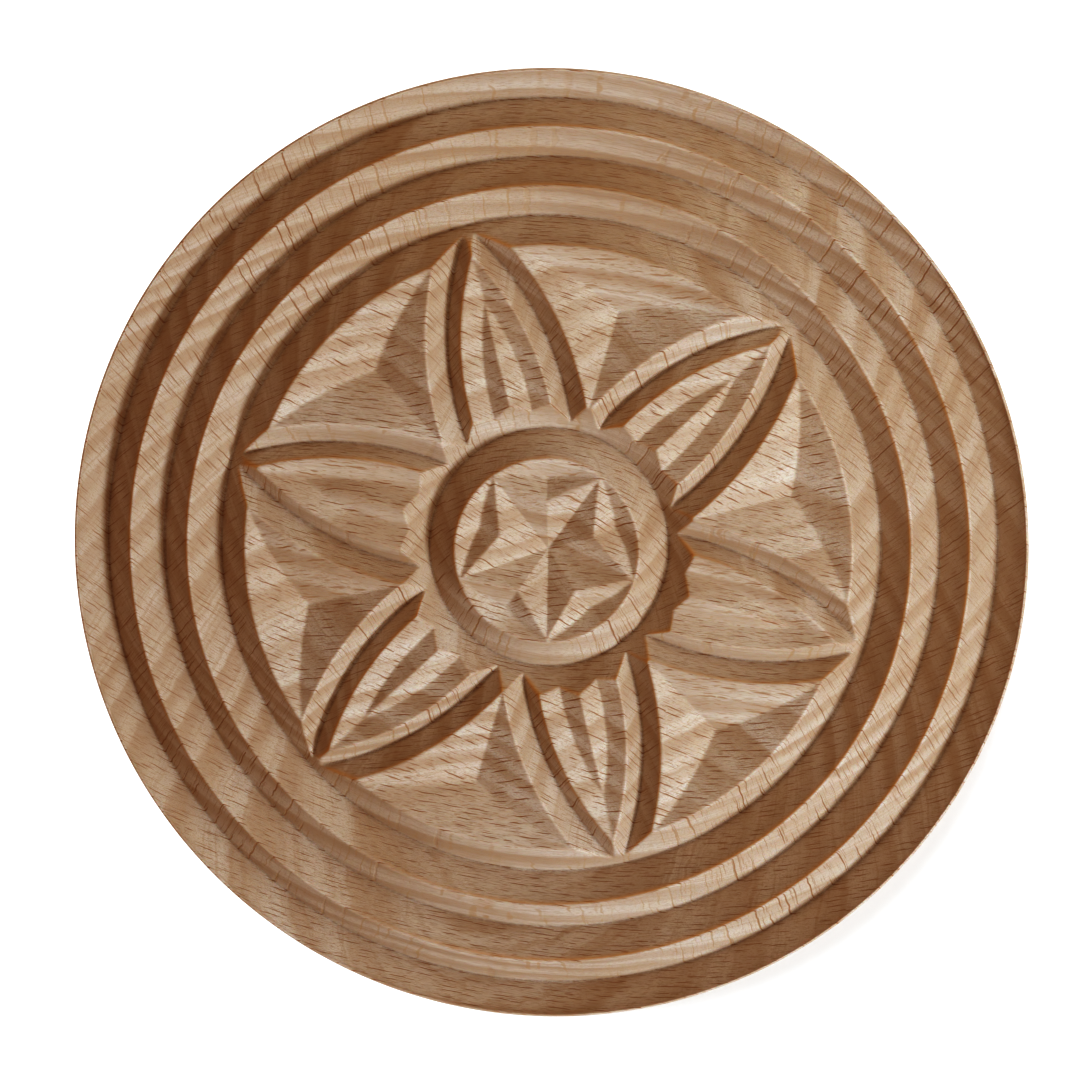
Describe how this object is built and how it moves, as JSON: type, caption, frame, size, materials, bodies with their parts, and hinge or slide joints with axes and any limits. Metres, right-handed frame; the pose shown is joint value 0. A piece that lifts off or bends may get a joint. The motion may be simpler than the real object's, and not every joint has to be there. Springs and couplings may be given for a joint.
{
  "type": "butter print",
  "caption": "Round wooden butter print: a flat disc carved with ring grooves, a petal flower and a sunk star, on a turned knob handle.",
  "frame": {"origin": "centre of the flat end of the knob handle, where the print stands", "axes": "+Z is the axis of the disc and the handle, up out of the carved face; +X points to the right-hand side of the carved pattern"},
  "size_m": [0.12, 0.12, 0.0643],
  "materials": {
    "disc_beech": "planed and sanded beech, unfinished",
    "handle_beech": "turned and sanded beech, unfinished"
  },
  "bodies": {
    "handle": {"handle": "handle_beech"},
    "print_disc": {"print_disc": "disc_beech"}
  },
  "joints": [
    {"name": "disc_lift_off", "type": "slide", "parent": "handle", "child": "print_disc", "axis": [0, 0, 1], "range_m": [0, 0.025]}
  ]
}
